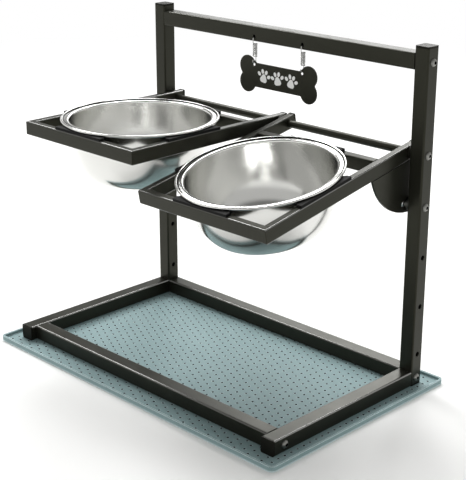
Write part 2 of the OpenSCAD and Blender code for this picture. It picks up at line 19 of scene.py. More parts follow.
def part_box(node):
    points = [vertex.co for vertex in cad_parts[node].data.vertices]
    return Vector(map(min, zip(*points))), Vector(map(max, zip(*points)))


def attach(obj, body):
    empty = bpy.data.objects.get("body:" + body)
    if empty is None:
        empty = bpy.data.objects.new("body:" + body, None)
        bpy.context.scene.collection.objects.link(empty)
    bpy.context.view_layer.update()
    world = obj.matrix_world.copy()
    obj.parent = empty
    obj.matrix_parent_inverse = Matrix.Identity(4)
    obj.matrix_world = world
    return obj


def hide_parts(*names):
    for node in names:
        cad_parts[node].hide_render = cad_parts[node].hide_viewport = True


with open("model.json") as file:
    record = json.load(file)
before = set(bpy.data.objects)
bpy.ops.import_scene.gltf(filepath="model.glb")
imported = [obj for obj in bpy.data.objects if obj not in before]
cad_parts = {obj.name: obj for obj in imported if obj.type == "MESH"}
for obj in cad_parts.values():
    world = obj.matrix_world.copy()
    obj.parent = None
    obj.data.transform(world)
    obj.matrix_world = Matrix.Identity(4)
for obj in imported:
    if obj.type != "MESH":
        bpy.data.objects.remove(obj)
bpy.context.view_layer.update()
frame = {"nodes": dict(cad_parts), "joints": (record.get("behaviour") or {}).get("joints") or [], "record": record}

LOG = logging.getLogger("feeder_stand")
MM = 0.001
QUARTER_TURN = math.pi / 2
FULL_TURN = 2 * math.pi

Pair = tuple[float, float]
Point = tuple[float, float, float]
Colour = tuple[float, float, float]
Tint = Colour | NodeSocket
Inputs = dict[str | int, object]


class Side(Enum):
    """The two bowl frames, as their names start in the CAD model."""

    LEFT = "left"
    RIGHT = "right"


class Slot(Enum):
    """The record's material slots."""

    BLACK_STEEL = "black_steel"
    BLACK_PLASTIC = "black_plastic"
    DARK_ZINC = "dark_zinc"
    BRIGHT_ZINC = "bright_zinc"
    STAINLESS = "stainless"
    PAD_RUBBER = "pad_rubber"
    MAT_SILICONE = "mat_silicone"


def deselect() -> None:
    """Leave nothing selected in object mode."""
    for obj in bpy.context.selected_objects:
        obj.select_set(False)


def activate(obj: Object) -> None:
    """Make one object the only selected and the active one.

    Args:
        obj: The object that the next operators act on.
    """
    deselect()
    obj.select_set(True)
    bpy.context.view_layer.objects.active = obj


def edit(obj: Object, select: str = "SELECT") -> None:
    """Open an object in edit mode.

    Args:
        obj: The mesh to edit.
        select: SELECT to start with all of it selected, DESELECT with none.
    """
    activate(obj)
    bpy.ops.object.mode_set(mode="EDIT")
    bpy.ops.mesh.select_all(action=select)


def close_edit() -> None:
    """Go back to object mode."""
    bpy.ops.object.mode_set(mode="OBJECT")


def extrude(step: Point) -> None:
    """Extrude the selected faces by a step."""
    bpy.ops.mesh.extrude_region_move(TRANSFORM_OT_translate={"value": step})


def tidy_mesh(obj: Object, gap: float = 0.005 * MM) -> None:
    """Merge doubled points and turn all faces outwards.

    Args:
        obj: The mesh to clean.
        gap: Points closer than this become one.
    """
    edit(obj)
    bpy.ops.mesh.remove_doubles(threshold=gap)
    bpy.ops.mesh.normals_make_consistent(inside=False)
    close_edit()


def smooth(obj: Object, crease: float) -> None:
    """Shade an object smooth, apart from edges sharper than an angle in degrees."""
    activate(obj)
    bpy.ops.object.shade_smooth_by_angle(angle=math.radians(crease))


def apply_modifier(obj: Object, kind: str, **settings: object) -> None:
    """Add a modifier with its settings and apply it.

    Args:
        obj: The object to change.
        kind: Blender's name of the modifier's type.
        **settings: Values for the modifier's own properties.
    """
    activate(obj)
    modifier = obj.modifiers.new(kind.lower(), kind)
    for key, value in settings.items():
        setattr(modifier, key, value)
    bpy.ops.object.modifier_apply(modifier=modifier.name)


def join(name: str, pieces: list[Object]) -> Object:
    """Join several meshes into one object.

    Args:
        name: Name of the joined object.
        pieces: The meshes; the first one takes in the others.

    Returns:
        The joined object.
    """
    activate(pieces[0])
    for piece in pieces[1:]:
        piece.select_set(True)
    bpy.ops.object.join()
    pieces[0].name = name
    return pieces[0]


def apply_place(obj: Object) -> None:
    """Put an object's place, turn and scale into its mesh."""
    activate(obj)
    bpy.ops.object.transform_apply(location=True, rotation=True, scale=True)


def bake_place(obj: Object, place: Matrix) -> None:
    """Move an object from its place as drawn, and put its new place into its mesh."""
    obj.matrix_world = place @ obj.matrix_world
    apply_place(obj)


def twin(obj: Object) -> Object:
    """Copy an object with a mesh of its own.

    Args:
        obj: The object to copy.

    Returns:
        The copy, in the scene.
    """
    copy = obj.copy()
    copy.data = obj.data.copy()
    bpy.context.scene.collection.objects.link(copy)
    return copy


def plane(size: float, place: Point) -> Object:
    """Add a square, with nothing else selected.

    Args:
        size: Its side.
        place: Its centre.

    Returns:
        The new object.
    """
    deselect()
    bpy.ops.mesh.primitive_plane_add(size=size, location=place)
    return bpy.context.object


def polyline(name: str, points: list[Point]) -> Object:
    """Draw an open line of edges by extruding one point.

    Args:
        name: Name of the new object.
        points: The line's points in order.

    Returns:
        A mesh object that holds only the line.
    """
    obj = plane(MM, points[0])
    obj.name = name
    edit(obj)
    bpy.ops.mesh.merge(type="CENTER")
    for before, after in zip(points, points[1:]):
        step = Vector(after) - Vector(before)
        bpy.ops.mesh.extrude_vertices_move(TRANSFORM_OT_translate={"value": step})
    close_edit()
    apply_place(obj)
    return obj


def spin(obj: Object, steps: int) -> None:
    """Turn a half section into a round body about the Z axis.

    Args:
        obj: The half section, as a line of edges.
        steps: Number of facets round the body.
    """
    edit(obj)
    bpy.ops.mesh.spin(steps=steps, angle=FULL_TURN, center=(0, 0, 0), axis=(0, 0, 1))
    close_edit()
    tidy_mesh(obj)


def arc(centre: Pair, radii: Pair, turns: Pair, steps: int) -> list[Pair]:
    """Draw part of a circle or an ellipse.

    Args:
        centre: Its centre.
        radii: Its radii along both axes; one below zero turns it over.
        turns: Its first and last angle.
        steps: Number of edges.

    Returns:
        Its points in order.
    """
    first, last = turns
    angles = [first + (last - first) * i / steps for i in range(steps + 1)]
    (x, y), (wide, high) = centre, radii
    return [(x + wide * math.cos(t), y + high * math.sin(t)) for t in angles]


def facing(place: Point, aim: Point) -> Matrix:
    """Set a camera or a lamp at a place, with its face to a point.

    Args:
        place: Where it is.
        aim: The point that it faces.

    Returns:
        Its matrix.
    """
    look = (Vector(aim) - Vector(place)).to_track_quat("-Z", "Y")
    return Matrix.Translation(place) @ look.to_matrix().to_4x4()


def rgba(colour: Tint) -> tuple[float, ...] | NodeSocket:
    """Give a colour full alpha, and leave a socket as it is."""
    return colour if isinstance(colour, NodeSocket) else (*colour, 1.0)


class ShaderGraph:
    """Adds and joins the nodes of one shader tree."""

    def __init__(self, tree: NodeTree) -> None:
        """Start on a material's, world's or group's tree, which may hold nodes already."""
        self.tree = tree

    def feed(self, node: Node, inputs: Inputs) -> None:
        """Set or join some inputs of a node.

        Args:
            node: The node.
            inputs: Values or output sockets for its inputs, by name or number.
        """
        for key, value in inputs.items():
            if isinstance(value, NodeSocket):
                self.tree.links.new(value, node.inputs[key])
            else:
                node.inputs[key].default_value = value

    def add(self, kind: str, inputs: Inputs | None = None, **settings: object) -> Node:
        """Add a node.

        Args:
            kind: Blender's type name of the node.
            inputs: Values or output sockets for its inputs, by name or number.
            **settings: Values for the node's own properties.

        Returns:
            The new node.
        """
        node = self.tree.nodes.new(kind)
        for key, value in settings.items():
            setattr(node, key, value)
        self.feed(node, inputs or {})
        return node

    def math(self, operation: str, first: object, second: object = 0.0) -> NodeSocket:
        """Add a Math node and return its output."""
        return self.add("ShaderNodeMath", {0: first, 1: second}, operation=operation).outputs[0]

    def measure(self, operation: str, first: NodeSocket, second: object = (0, 0, 0)) -> NodeSocket:
        """Add a Vector Math node that gives a number, and return that number."""
        node = self.add("ShaderNodeVectorMath", {0: first, 1: second}, operation=operation)
        return node.outputs["Value"]

    def ramp(
        self, value: NodeSocket, span: Pair, result: tuple[object, object] = (0.0, 1.0),
        soft: bool = False,
    ) -> NodeSocket:
        """Map a span of values to another one, and hold its ends.

        Args:
            value: The value to map.
            span: The span's first and last value, in either order.
            result: Values or sockets that these two become.
            soft: Whether the change eases in and out.

        Returns:
            The mapped value.
        """
        inputs = {
            "Value": value, "From Min": span[0], "From Max": span[1],
            "To Min": result[0], "To Max": result[1],
        }
        change = "SMOOTHSTEP" if soft else "LINEAR"
        return self.add("ShaderNodeMapRange", inputs, interpolation_type=change).outputs[0]

    # A Mix node has its numbers at inputs 2 and 3 and its colours at 6 and 7, mixed at outputs 0 and 2.
    def blend(self, share: NodeSocket, first: NodeSocket, second: float) -> NodeSocket:
        """Mix two numbers by the share of the second, and return the result."""
        return self.add("ShaderNodeMix", {0: share, 2: first, 3: second}).outputs[0]

    def mix(self, share: NodeSocket, first: Tint, second: Tint) -> NodeSocket:
        """Mix two colours by the share of the second, and return the result."""
        inputs = {0: share, 6: rgba(first), 7: rgba(second)}
        return self.add("ShaderNodeMix", inputs, data_type="RGBA").outputs[2]


def new_material(name: str) -> tuple[Material, ShaderGraph, Node]:
    """Make a material with its shader.

    Args:
        name: Name of the material.

    Returns:
        The material, its graph and its Principled BSDF.
    """
    material = bpy.data.materials.new(name)
    material.use_nodes = True
    graph = ShaderGraph(material.node_tree)
    return material, graph, material.node_tree.nodes["Principled BSDF"]


def new_group(
    name: str, inputs: dict[str, float | None], outputs: tuple[str, ...]
) -> tuple[ShaderGraph, Node, Node]:
    """Make an empty shader node group with its sockets.

    Args:
        name: Name of the group.
        inputs: Default of each input that is a number, and None for a vector, by name.
        outputs: Names of the outputs, which are all numbers.

    Returns:
        The group's graph, and its input and output nodes.
    """
    tree = bpy.data.node_groups.new(name, "ShaderNodeTree")
    for label, default in inputs.items():
        kind = "NodeSocketVector" if default is None else "NodeSocketFloat"
        socket = tree.interface.new_socket(name=label, in_out="INPUT", socket_type=kind)
        if default is not None:
            socket.default_value = default
    for label in outputs:
        tree.interface.new_socket(name=label, in_out="OUTPUT", socket_type="NodeSocketFloat")
    return ShaderGraph(tree), tree.nodes.new("NodeGroupInput"), tree.nodes.new("NodeGroupOutput")


@dataclass
class Effects:
    """Shader node groups that several finishes share."""

    blotch_span: Pair = (0.3, 0.7)
    groove_shade_span: Pair = (1.0, 0.5)
    round_span: Pair = (0.975, 0.94)
    grain: NodeTree = field(init=False)
    blotches: NodeTree = field(init=False)
    spun_rings: NodeTree = field(init=False)
    groove: NodeTree = field(init=False)
    round_edges: NodeTree = field(init=False)

    def __post_init__(self) -> None:
        """Build the groups once."""
        self.grain = self._grain()
        self.blotches = self._blotches()
        self.spun_rings = self._spun_rings()
        self.groove = self._groove_shade_mask()
        self.round_edges = self._round_edges()

    @staticmethod
    def _noise(graph: ShaderGraph, given: Node, detail: float, roughness: float) -> NodeSocket:
        """Add noise at a group's Vector, with spots of the group's Size.

        Args:
            graph: The group's graph.
            given: The group's input node.
            detail: How many finer layers there are.
            roughness: Strength of each layer over the one before.

        Returns:
            The noise.
        """
        inputs = {
            "Vector": given.outputs["Vector"],
            "Scale": graph.math("DIVIDE", 1.0, given.outputs["Size"]),
            "Detail": detail,
            "Roughness": roughness,
        }
        return graph.add("ShaderNodeTexNoise", inputs).outputs[0]

    def _grain(self) -> NodeTree:
        """Build the fine, even grain of a moulded or sprayed surface.

        Returns:
            Group from Vector and Size, the width of one bump, to Height.
        """
        graph, given, result = new_group("fine_grain", {"Vector": None, "Size": MM}, ("Height",))
        graph.feed(result, {"Height": self._noise(graph, given, detail=2.0, roughness=0.5)})
        return graph.tree

    def _blotches(self) -> NodeTree:
        """Build soft, uneven patches, as from handling and thickness of a coat.

        Returns:
            Group from Vector, Size, Low and High to Value, between Low and High, and Mask.
        """
        sizes = {"Vector": None, "Size": 40 * MM, "Low": 0.3, "High": 0.5}
        graph, given, result = new_group("soft_blotches", sizes, ("Value", "Mask"))
        noise = self._noise(graph, given, detail=4.0, roughness=0.6)
        mask = graph.ramp(noise, self.blotch_span)
        value = graph.ramp(mask, (0.0, 1.0), (given.outputs["Low"], given.outputs["High"]))
        graph.feed(result, {"Value": value, "Mask": mask})
        return graph.tree

    @staticmethod
    def _off_axis(graph: ShaderGraph, place: NodeSocket) -> NodeSocket:
        """Measure how far a point is from the Z axis."""
        flat = graph.add("ShaderNodeVectorMath", {0: place, 1: (1, 1, 0)}, operation="MULTIPLY")
        return graph.measure("LENGTH", flat.outputs[0])

    def _spun_rings(self) -> NodeTree:
        """Build the faint rings that spinning and polishing leave on a round body.

        Returns:
            Group from Vector, centred on the body's axis, and Pitch to Height.
        """
        graph, given, result = new_group("spun_rings", {"Vector": None, "Pitch": MM}, ("Height",))
        place, pitch = given.outputs["Vector"], given.outputs["Pitch"]
        height = graph.add("ShaderNodeSeparateXYZ", {"Vector": place}).outputs["Z"]
        across = graph.math("DIVIDE", self._off_axis(graph, place), pitch)
        along = graph.math("SUBTRACT", across, graph.math("DIVIDE", height, pitch))
        lines = graph.add(
            "ShaderNodeTexNoise", {"W": along, "Scale": 1.0, "Detail": 3.0}, noise_dimensions="1D"
        )
        graph.feed(result, {"Height": lines.outputs[0]})
        return graph.tree

    def _groove_shade_mask(self) -> NodeTree:
        """Build a thin dark ring painted in a round groove as its shade.

        Returns:
            Group from Vector, centred on the body's axis, Radius and Width to Mask.
        """
        sizes = {"Vector": None, "Radius": 100 * MM, "Width": MM}
        graph, given, result = new_group("groove_painted_shade", sizes, ("Mask",))
        radius = self._off_axis(graph, given.outputs["Vector"])
        gap = graph.math("ABSOLUTE", graph.math("SUBTRACT", radius, given.outputs["Radius"]))
        share = graph.math("DIVIDE", gap, given.outputs["Width"])
        graph.feed(result, {"Mask": graph.ramp(share, self.groove_shade_span)})
        return graph.tree

    def _round_edges(self) -> NodeTree:
        """Find a tube's round edges, where handling polishes the coat.

        Returns:
            Group from Normal, in the object's frame, to Mask: none on faces along an axis.
        """
        graph, given, result = new_group("round_edges", {"Normal": None}, ("Mask",))
        size = graph.add("ShaderNodeVectorMath", {0: given.outputs["Normal"]}, operation="ABSOLUTE")
        along = graph.add("ShaderNodeSeparateXYZ", {"Vector": size.outputs[0]}).outputs
        most = graph.math("MAXIMUM", graph.math("MAXIMUM", along["X"], along["Y"]), along["Z"])
        graph.feed(result, {"Mask": graph.ramp(most, self.round_span)})
        return graph.tree

    def uneven(self, graph: ShaderGraph, place: NodeSocket, size: float, gloss: Pair) -> Node:
        """Place the blotches in a material.

        Args:
            graph: The material's graph.
            place: The point on the piece.
            size: Width of a blotch.
            gloss: Least and greatest roughness.

        Returns:
            The placed group, with the roughness as its Value.
        """
        inputs = {"Vector": place, "Size": size, "Low": gloss[0], "High": gloss[1]}
        return graph.add("ShaderNodeGroup", inputs, node_tree=self.blotches)


@dataclass(frozen=True)
class Finish:
    """A surface finish with a fine grain and uneven gloss.

    The colour drifts between two tones, and sharp edges are softened by a small radius in the
    shading. A painted highlight on sharp edges with painted floor light at the foot, painted shade in
    crevices, and a glossy coat on round edges are there only where the edge tone, crevice or
    round_ior is set.
    """

    name: str
    tone: Colour
    tone_worn: Colour
    roughness: Pair
    grain_size: float
    grain_depth: float
    metallic: float = 0.0
    edge_radius: float = 0.4 * MM
    edge_samples: int = 4
    blotch_size: float = 45 * MM
    specular: float = 0.5
    gloss_tint: Colour = (1.0, 1.0, 1.0)
    # The edge tone is a painted highlight on sharp edges; foot and its share paint floor light up the bottom of a
    # side.
    edge_highlight_tone: Colour | None = None
    edge_span: Pair = (0.97, 0.90)
    foot: float = 0.0
    foot_glow_share: float = 0.6
    # The crevice fields and the colour below paint shade into hollows, by ambient occlusion.
    crevice: float = 0.0
    crevice_span: Pair = (0.68, 0.99)
    crevice_samples: int = 8
    crevice_shade: Colour = (0.004, 0.004, 0.004)
    round_ior: float = 0.0
    round_roughness: float = 0.2

    def build(self, effects: Effects) -> Material:
        """Make the material.

        Args:
            effects: The shared node groups.

        Returns:
            The new material.
        """
        material, graph, shader = new_material(self.name)
        place = graph.add("ShaderNodeTexCoord").outputs["Object"]
        blotches = effects.uneven(graph, place, self.blotch_size, self.roughness)
        base = graph.mix(blotches.outputs["Mask"], self.tone, self.tone_worn)
        bevel = graph.add("ShaderNodeBevel", {"Radius": self.edge_radius}, samples=self.edge_samples)
        soft_edge = bevel.outputs[0]
        # Painted highlights on the edges and painted floor light at the foot.
        if self.edge_highlight_tone:
            base = self._paint_edge_highlight(graph, soft_edge, place, base)
        if self.crevice:
            base = self._paint_crevice_shade(graph, base)
        if self.round_ior:
            self._polish(graph, effects, shader)
        graph.feed(
            shader,
            {
                "Base Color": base,
                "Roughness": blotches.outputs["Value"],
                "Metallic": self.metallic,
                "Specular IOR Level": self.specular,
                "Specular Tint": rgba(self.gloss_tint),
                "Normal": self._relief(graph, effects, place, soft_edge),
            },
        )
        return material

    def _polish(self, graph: ShaderGraph, effects: Effects, shader: Node) -> None:
        """Put a glossy coat on a tube's round edges.

        Args:
            graph: The material's graph.
            effects: The shared node groups.
            shader: The material's Principled BSDF.
        """
        way = graph.add("ShaderNodeTexCoord").outputs["Normal"]
        polish = graph.add("ShaderNodeGroup", {"Normal": way}, node_tree=effects.round_edges)
        graph.feed(
            shader,
            {
                "Coat Weight": polish.outputs["Mask"],
                "Coat IOR": self.round_ior,
                "Coat Roughness": self.round_roughness,
            },
        )

    def _paint_crevice_shade(self, graph: ShaderGraph, base: NodeSocket) -> NodeSocket:
        """Paint shade into sockets, corners and round the foot of a head, by ambient occlusion.

        Args:
            graph: The material's graph.
            base: The colour of the open surface.

        Returns:
            The colour to use.
        """
        opening = graph.add(
            "ShaderNodeAmbientOcclusion", {"Distance": self.crevice}, samples=self.crevice_samples
        )
        return graph.mix(graph.ramp(opening.outputs["AO"], self.crevice_span), self.crevice_shade, base)

    def _paint_edge_highlight(
        self, graph: ShaderGraph, soft_edge: NodeSocket, place: NodeSocket, base: NodeSocket
    ) -> NodeSocket:
        """Paint a highlight on the sharp edges, and paint the floor's light lighter toward the foot of a soft
        piece.

        Args:
            graph: The material's graph.
            soft_edge: The normal with softened edges.
            place: The point on the piece.
            base: The colour away from the edges.

        Returns:
            The colour to use.
        """
        flat = graph.add("ShaderNodeNewGeometry").outputs["Normal"]
        edge = graph.ramp(graph.measure("DOT_PRODUCT", soft_edge, flat), self.edge_span)
        height = graph.add("ShaderNodeSeparateXYZ", {"Vector": place}).outputs["Z"]
        foot = graph.ramp(height, (self.foot, self.foot / 2), (0.0, self.foot_glow_share))
        return graph.mix(graph.math("MAXIMUM", edge, foot), base, self.edge_highlight_tone)

    def _relief(
        self, graph: ShaderGraph, effects: Effects, place: NodeSocket, soft_edge: NodeSocket
    ) -> NodeSocket:
        """Add the grain's bump on top of softened edges.

        Args:
            graph: The material's graph.
            effects: The shared node groups.
            place: The point on the piece.
            soft_edge: The normal with softened edges.

        Returns:
            The normal to use.
        """
        sizes = {"Vector": place, "Size": self.grain_size}
        grain = graph.add("ShaderNodeGroup", sizes, node_tree=effects.grain)
        bump = graph.add(
            "ShaderNodeBump",
            {
                "Strength": 1.0,
                "Distance": self.grain_depth,
                "Height": grain.outputs["Height"],
                "Normal": soft_edge,
            },
        )
        return bump.outputs[0]


@dataclass(frozen=True)
class SpunSteel:
    """Polished steel that was spun on a lathe, with its rings about one bowl's axis."""

    tone: Colour = (0.73, 0.73, 0.71)
    roughness: Pair = (0.14, 0.22)
    ring_pitch: float = 0.9 * MM
    ring_depth: float = 0.006 * MM
    blotch_size: float = 60 * MM
    # A dark ring of painted shade in the rim's groove.
    groove_shade: Colour = (0.055, 0.055, 0.052)
    groove_shade_w: float = 1.15 * MM

    def build(self, effects: Effects, name: str, to_axis: Matrix, groove_r: float) -> Material:
        """Make the material for one bowl.

        Args:
            effects: The shared node groups.
            name: Name of the material.
            to_axis: From the CAD frame to a frame whose Z axis is the bowl's own.
            groove_r: Radius of the groove that gets a ring of painted shade.

        Returns:
            The new material.
        """
        material, graph, shader = new_material(name)
        place = graph.add("ShaderNodeTexCoord").outputs["Object"]
        centred = graph.add(
            "ShaderNodeMapping",
            {
                "Vector": place,
                "Location": to_axis.to_translation(),
                "Rotation": to_axis.to_euler(),
            },
            vector_type="POINT",
        ).outputs[0]
        rings = graph.add(
            "ShaderNodeGroup", {"Vector": centred, "Pitch": self.ring_pitch},
            node_tree=effects.spun_rings,
        )
        relief = {"Strength": 1.0, "Distance": self.ring_depth, "Height": rings.outputs["Height"]}
        bump = graph.add("ShaderNodeBump", relief)
        blotches = effects.uneven(graph, centred, self.blotch_size, self.roughness)
        # The groove's dark ring is painted shade.
        in_groove = graph.add(
            "ShaderNodeGroup",
            {"Vector": centred, "Radius": groove_r, "Width": self.groove_shade_w},
            node_tree=effects.groove,
        )
        graph.feed(
            shader,
            {
                "Base Color": graph.mix(in_groove.outputs["Mask"], self.tone, self.groove_shade),
                "Metallic": 1.0,
                "Roughness": blotches.outputs["Value"],
                "Normal": bump.outputs[0],
            },
        )
        return material


@dataclass(frozen=True)
class SoftBox:
    """An area lamp that faces the object."""

    name: str
    place: Point
    size: Pair
    power: float
    aim: Point = (0.0, 0.0, 0.2)

    def hang(self) -> None:
        """Add the lamp to the scene."""
        data = bpy.data.lights.new(self.name, "AREA")
        data.shape = "RECTANGLE"
        data.size, data.size_y = self.size
        data.energy = self.power
        lamp = bpy.data.objects.new(self.name, data)
        lamp.matrix_world = facing(self.place, self.aim)
        bpy.context.scene.collection.objects.link(lamp)


@dataclass
class Studio:
    """Camera, light, floor and backdrop.

    Of the lamps, the key is at the left, two behind are shown by top faces, one hangs above, and one
    lights the edges. Ways are directions from the object, and zones are spans of a way's height or of
    its share along another one. The flag's reach is the angle of its rim and of its dark core.
    """

    eye: Point = (1.0691, -1.0386, 0.6967)
    target: Point = (0.02893, 0.00693, 0.17529)
    roll: float = math.radians(0.07)
    lens: float = 92.44
    sensor: float = 36.0
    clip_start: float = 0.05
    floor_size: float = 14.0
    floor_tone: Colour = (0.93, 0.93, 0.92)
    floor_roughness: float = 0.7
    shadow_reach: Pair = (0.7, 2.4)
    surround_tint: Colour = (1.0, 1.0, 0.985)
    back_way: Point = (-0.5, 0.866, 0.0)
    back_zone: Pair = (-0.6, 0.5)
    back_level: float = 0.62
    front_level: float = 0.58
    horizon_zone: Pair = (0.16, 0.38)
    horizon_gain: float = 1.55
    ceiling_zone: Pair = (0.68, 0.9)
    ceiling_level: float = 0.2
    flag_way: Point = (-0.791, 0.457, 0.407)
    flag_reach: Pair = (23.0, 8.0)
    flag_level: float = 0.2
    lamps: tuple[SoftBox, ...] = (
        SoftBox("key", (-4.4, 1.1, 4.6), (2.0, 2.0), 195.0),
        SoftBox("back", (-3.22, 4.6, 3.5), (2.0, 2.0), 74.0),
        SoftBox("top", (-1.6, 1.75, 4.6), (1.8, 1.8), 102.0),
        SoftBox("edge", (-1.1, 3.6, 4.2), (1.5, 0.7), 44.0),
        SoftBox("low", (-3.0, 4.0, 1.2), (2.0, 0.7), 10.0, aim=(0.0, 0.1, 0.4)),
    )

    def build(self) -> None:
        """Make the whole stage."""
        bpy.context.scene.view_settings.view_transform = "Standard"
        self._camera()
        self._floor()
        self._world()
        for lamp in self.lamps:
            lamp.hang()

    def _camera(self) -> None:
        """Set up the camera at the photograph's viewpoint."""
        data = bpy.data.cameras.new("camera")
        data.lens = self.lens
        data.sensor_width = self.sensor
        data.clip_start = self.clip_start
        camera = bpy.data.objects.new("camera", data)
        camera.matrix_world = facing(self.eye, self.target) @ Matrix.Rotation(self.roll, 4, "Z")
        bpy.context.scene.collection.objects.link(camera)
        bpy.context.scene.camera = camera

    def _floor(self) -> None:
        """Lay a pale floor that shows the shadows near the object and is plain white far off."""
        floor = plane(self.floor_size, (0, 0, 0))
        floor.name = "floor"
        material, graph, shader = new_material("floor_pale")
        graph.feed(shader, {"Base Color": rgba(self.floor_tone), "Roughness": self.floor_roughness})
        away = graph.measure("LENGTH", graph.add("ShaderNodeTexCoord").outputs["Object"])
        fade = graph.ramp(away, self.shadow_reach, soft=True)
        share = graph.math("MULTIPLY", fade, graph.math("MAXIMUM", *self._sight(graph)))
        white = graph.add("ShaderNodeEmission").outputs[0]
        mixed = graph.add("ShaderNodeMixShader", {0: share, 1: shader.outputs[0], 2: white})
        graph.feed(graph.tree.nodes["Material Output"], {"Surface": mixed.outputs[0]})
        floor.data.materials.append(material)

    @staticmethod
    def _sight(graph: ShaderGraph) -> tuple[NodeSocket, NodeSocket]:
        """Tell the rays that see the backdrop.

        Args:
            graph: The graph to add to.

        Returns:
            Masks of what the camera sees, and of what it sees in metal.
        """
        path = graph.add("ShaderNodeLightPath").outputs
        mirrored = graph.math("MAXIMUM", path["Is Glossy Ray"], path["Is Transmission Ray"])
        return path["Is Camera Ray"], mirrored

    def _world(self) -> None:
        """Set a white surround with a dark flag in it, which metal and coats mirror."""
        world = bpy.data.worlds.new("surround")
        world.use_nodes = True
        bpy.context.scene.world = world
        graph = ShaderGraph(world.node_tree)
        way = graph.add("ShaderNodeTexCoord").outputs["Generated"]
        height = graph.add("ShaderNodeSeparateXYZ", {"Vector": way}).outputs["Z"]
        rim, core = (math.cos(math.radians(angle)) for angle in self.flag_reach)
        near_flag = graph.measure("DOT_PRODUCT", way, self.flag_way)
        flag = graph.ramp(near_flag, (rim, core), (1.0, self.flag_level), soft=True)
        level = self._level(graph, way, height, flag)
        low = graph.ramp(height, self.horizon_zone[::-1], soft=True)
        seen, mirrored = self._sight(graph)
        backdrop = graph.math("MULTIPLY", low, flag)
        white = graph.math("MAXIMUM", seen, graph.math("MULTIPLY", mirrored, backdrop))
        shown = graph.blend(white, level, 1.0)
        background = world.node_tree.nodes["Background"]
        graph.feed(background, {"Color": rgba(self.surround_tint), "Strength": shown})

    def _level(
        self, graph: ShaderGraph, way: NodeSocket, height: NodeSocket, flag: NodeSocket
    ) -> NodeSocket:
        """Grade the surround's light from the horizon to the ceiling.

        Args:
            graph: The world's graph.
            way: The direction looked at.
            height: Its upward share.
            flag: Share of light that the flag lets through.

        Returns:
            The light from there.
        """
        toward = graph.measure("DOT_PRODUCT", way, self.back_way)
        levels = (self.front_level, self.back_level)
        side = graph.ramp(toward, self.back_zone, levels, soft=True)
        horizon = graph.ramp(height, self.horizon_zone, (self.horizon_gain, 1.0), soft=True)
        overhead = graph.ramp(height, self.ceiling_zone, soft=True)
        around = graph.math("MULTIPLY", graph.math("MULTIPLY", side, horizon), flag)
        return graph.blend(overhead, around, self.ceiling_level)


@dataclass
class FrameSeat:
    """Where one frame holds its bowl: the rod's axis, the frame's tilt and the ring's centre."""

    side: Side
    pivot: Vector = field(init=False)
    tilt: float = field(init=False)
    ring_x: float = 107 * MM
    ring_ahead: float = 153 * MM

    def __post_init__(self) -> None:
        """Read the rod's axis and the tilt from the frame's own joint."""
        joint = next(j for j in frame["joints"] if j["name"] == f"{self.side.value}_tilt")
        self.pivot = Vector(joint["pos_m"])
        self.tilt = -math.radians(joint["range_deg"][0])
        if self.side is Side.LEFT:
            self.ring_x = -self.ring_x

    def place(self) -> Matrix:
        """Give the move from a drawing about the ring's centre, at the rod's level, to its place."""
        ring = Matrix.Translation((self.ring_x, -self.ring_ahead, 0))
        return Matrix.Translation(self.pivot) @ Matrix.Rotation(self.tilt, 4, "X") @ ring


@dataclass
class SpunBowl:
    """A spun steel bowl with a rolled rim, in the ring of one frame."""

    seat: FrameSeat
    wall_r: float = 92 * MM
    base_r: float = 55 * MM
    rim_w: float = 10.25 * MM
    bead_r: float = 1.8 * MM
    sheet: float = 1.0 * MM
    bend_r: float = 3.0 * MM
    groove: float = 0.7 * MM
    bead_z: float = 14.2 * MM
    depth: float = 82 * MM
    facets: int = 144
    wall_steps: int = 28
    outer_bend_steps: int = 6
    inner_bend_steps: int = 8
    bead_steps: int = 24
    crease: float = 40.0

    def section(self) -> list[Point]:
        """Draw the half section from the outer base, round the rim, to the inner base.

        Returns:
            Points in the XZ plane about the bowl's axis.
        """
        top = self.bead_z + self.sheet / 2
        bend_z = top - self.bend_r
        under = self.bead_z + self.bead_r - self.depth
        bend_in = self.bend_r - self.sheet
        bead_x = self.wall_r + self.rim_w - self.bead_r
        wall_w, wall_h = self.wall_r - self.base_r, bend_z - under
        foot = (self.base_r, bend_z)
        bend = (self.wall_r + bend_in, bend_z)
        bead = (bead_x, self.bead_z)
        inner_wall = (wall_w - self.sheet, self.sheet - wall_h)
        dip = math.asin(self.sheet / 2 / self.bead_r)
        line = [
            (0.0, under),
            *arc(foot, (wall_w, -wall_h), (QUARTER_TURN, 0.0), self.wall_steps),
            *arc(bend, (bend_in, bend_in), (math.pi, QUARTER_TURN), self.outer_bend_steps)[1:],
            *arc(bead, (self.bead_r, self.bead_r), (dip - math.pi, math.pi), self.bead_steps),
            (bead_x - self.bead_r - self.groove, top),
            *arc(bend, (self.bend_r, self.bend_r), (QUARTER_TURN, math.pi), self.inner_bend_steps),
            *arc(foot, inner_wall, (0.0, QUARTER_TURN), self.wall_steps)[1:],
            (0.0, under + self.sheet),
        ]
        return [(x, 0.0, z) for x, z in line]

    def build(self, effects: Effects, steel: SpunSteel) -> Object:
        """Spin the bowl, set it on its frame and dress it.

        Args:
            effects: The shared node groups.
            steel: The bowl's finish.

        Returns:
            The finished bowl.
        """
        side = self.seat.side.value
        bowl = polyline(f"{side}_spun_bowl", self.section())
        spin(bowl, self.facets)
        place = self.seat.place()
        bake_place(bowl, place)
        smooth(bowl, self.crease)
        groove_r = self.wall_r + self.rim_w - 2 * self.bead_r
        material = steel.build(effects, f"{side}_bowl_steel", place.inverted(), groove_r)
        bowl.data.materials.append(material)
        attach(bowl, f"{side}_bowl_body")
        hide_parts(f"{side}_bowl")
        return bowl


